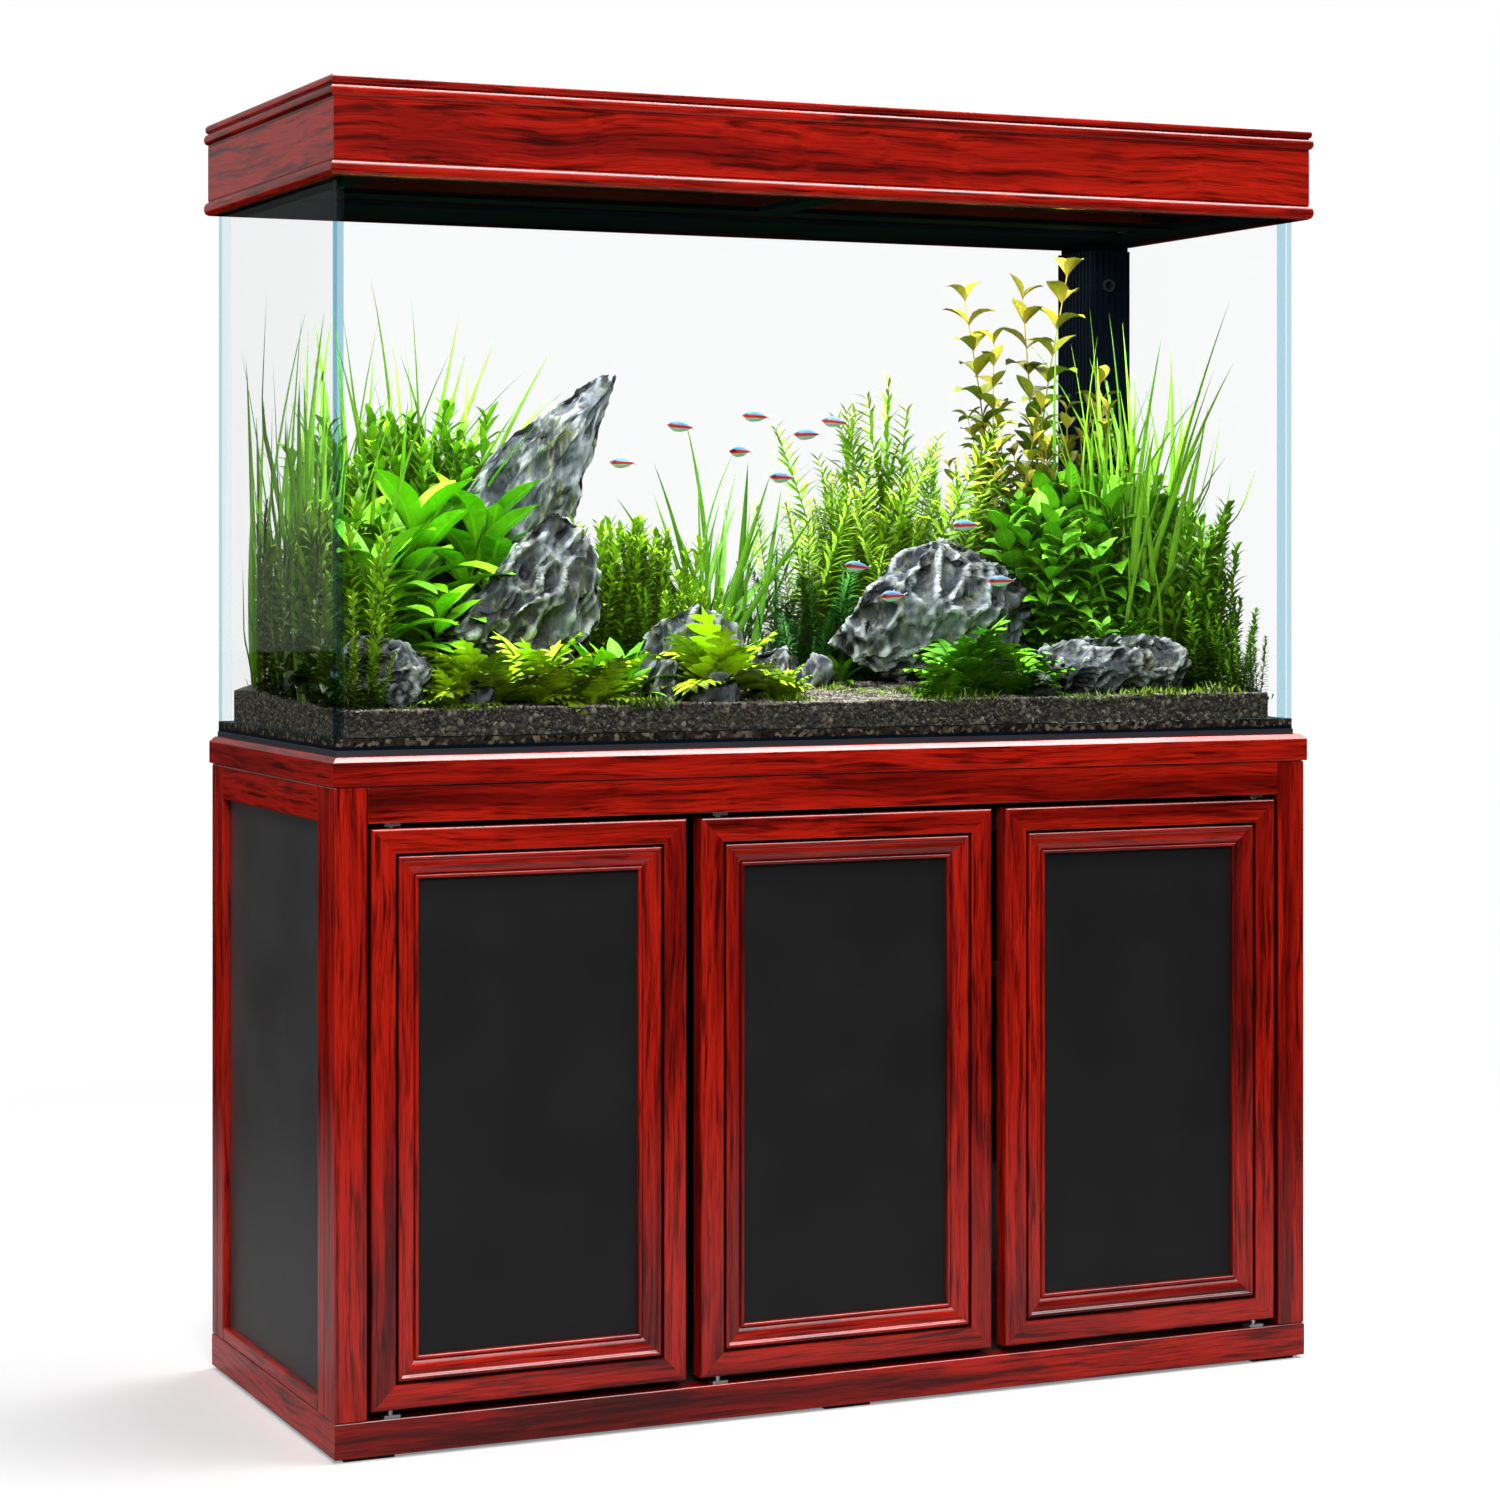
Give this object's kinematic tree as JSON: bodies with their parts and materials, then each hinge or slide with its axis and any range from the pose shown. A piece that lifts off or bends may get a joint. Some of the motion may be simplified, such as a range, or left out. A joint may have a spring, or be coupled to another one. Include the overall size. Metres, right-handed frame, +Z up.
{
  "type": "aquarium on stand",
  "caption": "Planted glass aquarium with a lift-off wooden hood, corner overflow and filter sump, on a panelled cabinet with hinged doors.",
  "frame": {"origin": "middle of the overall footprint at floor level", "axes": "+Z up, front with the doors towards -Y, +X to the right of a viewer who faces the doors"},
  "size_m": [1.214, 0.5, 1.46],
  "materials": {
    "red_wood": "gloss",
    "black_board": "matte",
    "black_panel": "satin",
    "rubber_pad": "matte",
    "foam_mat": "matte",
    "steel": "satin",
    "brass": "satin",
    "clear_glass": "polished",
    "silicone": "gloss",
    "overflow_plastic": "gloss",
    "ceiling_plastic": "satin",
    "black_plastic": "satin",
    "soil": "matte",
    "rock": "matte",
    "plant": "satin",
    "fish": "gloss",
    "pipe_plastic": "satin",
    "valve_plastic": "gloss",
    "wool": "matte",
    "aluminium": "satin",
    "lamp_diffuser": "satin"
  },
  "bodies": {
    "cabinet": {"back_panels": "black_board", "base_mat": "foam_mat", "bulkheads": "black_plastic", "bushy_plants": "plant", "cap_board": "red_wood", "dividers": "black_board", "door_magnets": "black_plastic", "drain_pipe": "pipe_plastic", "fish_school": "fish", "floor_board": "black_board", "foot_pads": "rubber_pad", "front_pane": "clear_glass", "hinge_pivots": "steel", "low_plants": "plant", "overflow_box": "overflow_plastic", "plinth_boards": "red_wood", "posts": "red_wood", "rear_pane": "clear_glass", "return_pipe": "pipe_plastic", "return_pump": "black_plastic", "rocks": "rock", "side_bottom_rails": "red_wood", "side_panels": "black_panel", "side_panes": "clear_glass", "silicone_seams": "silicone", "soil_bed": "soil", "sump_panes": "clear_glass", "tall_plants": "plant", "tank_floor_glass": "clear_glass", "top_rails": "red_wood", "valve_bodies": "pipe_plastic"},
    "hood": {"hood_boards": "red_wood", "hood_crown": "red_wood", "hood_base_moulding": "red_wood", "hood_rear_top": "red_wood", "hood_cross_rail": "black_board", "hood_ceiling": "ceiling_plastic", "lamp_housing": "aluminium", "lamp_panel": "lamp_diffuser", "lid_hinges": "steel"},
    "left_lid": {"left_lid": "red_wood", "left_lid_fittings": "steel"},
    "right_lid": {"right_lid": "red_wood", "right_lid_fittings": "steel"},
    "drain_valve": {"drain_valve_handle": "valve_plastic"},
    "return_valve": {"return_valve_handle": "valve_plastic"},
    "filter_tray": {"filter_tray": "black_plastic", "filter_wool": "wool"},
    "left_door": {"left_door_frame": "red_wood", "left_door_moulding": "red_wood", "left_door_panel": "black_panel", "left_door_fittings": "brass"},
    "middle_door": {"middle_door_frame": "red_wood", "middle_door_moulding": "red_wood", "middle_door_panel": "black_panel", "middle_door_fittings": "brass"},
    "right_door": {"right_door_frame": "red_wood", "right_door_moulding": "red_wood", "right_door_panel": "black_panel", "right_door_fittings": "brass"}
  },
  "joints": [
    {"name": "hood_lift", "type": "slide", "parent": "cabinet", "child": "hood", "axis": [0, 0, 1], "range_m": [0, 0.2]},
    {"name": "left_lid_hinge", "type": "hinge", "parent": "hood", "child": "left_lid", "pos_m": [-0.287, 0.061, 1.4554], "axis": [-1, 0, 0], "range_deg": [0, 95]},
    {"name": "right_lid_hinge", "type": "hinge", "parent": "hood", "child": "right_lid", "pos_m": [0.287, 0.061, 1.4554], "axis": [-1, 0, 0], "range_deg": [0, 95]},
    {"name": "left_door_hinge", "type": "hinge", "parent": "cabinet", "child": "left_door", "pos_m": [-0.5355, -0.229, 0.358], "axis": [0, 0, -1], "range_deg": [0, 100]},
    {"name": "middle_door_hinge", "type": "hinge", "parent": "cabinet", "child": "middle_door", "pos_m": [-0.15683, -0.229, 0.358], "axis": [0, 0, -1], "range_deg": [0, 100]},
    {"name": "right_door_hinge", "type": "hinge", "parent": "cabinet", "child": "right_door", "pos_m": [0.5355, -0.229, 0.358], "axis": [0, 0, 1], "range_deg": [0, 100]},
    {"name": "drain_valve_turn", "type": "hinge", "parent": "cabinet", "child": "drain_valve", "pos_m": [0.548, 0.132, 0.636], "axis": [0, -1, 0], "range_deg": [0, 90]},
    {"name": "return_valve_turn", "type": "hinge", "parent": "cabinet", "child": "return_valve", "pos_m": [0.522, 0.198, 0.54], "axis": [1, 0, 0], "range_deg": [0, 90]},
    {"name": "filter_tray_lift", "type": "slide", "parent": "cabinet", "child": "filter_tray", "axis": [0, 0, 1], "range_m": [0, 0.05]}
  ]
}
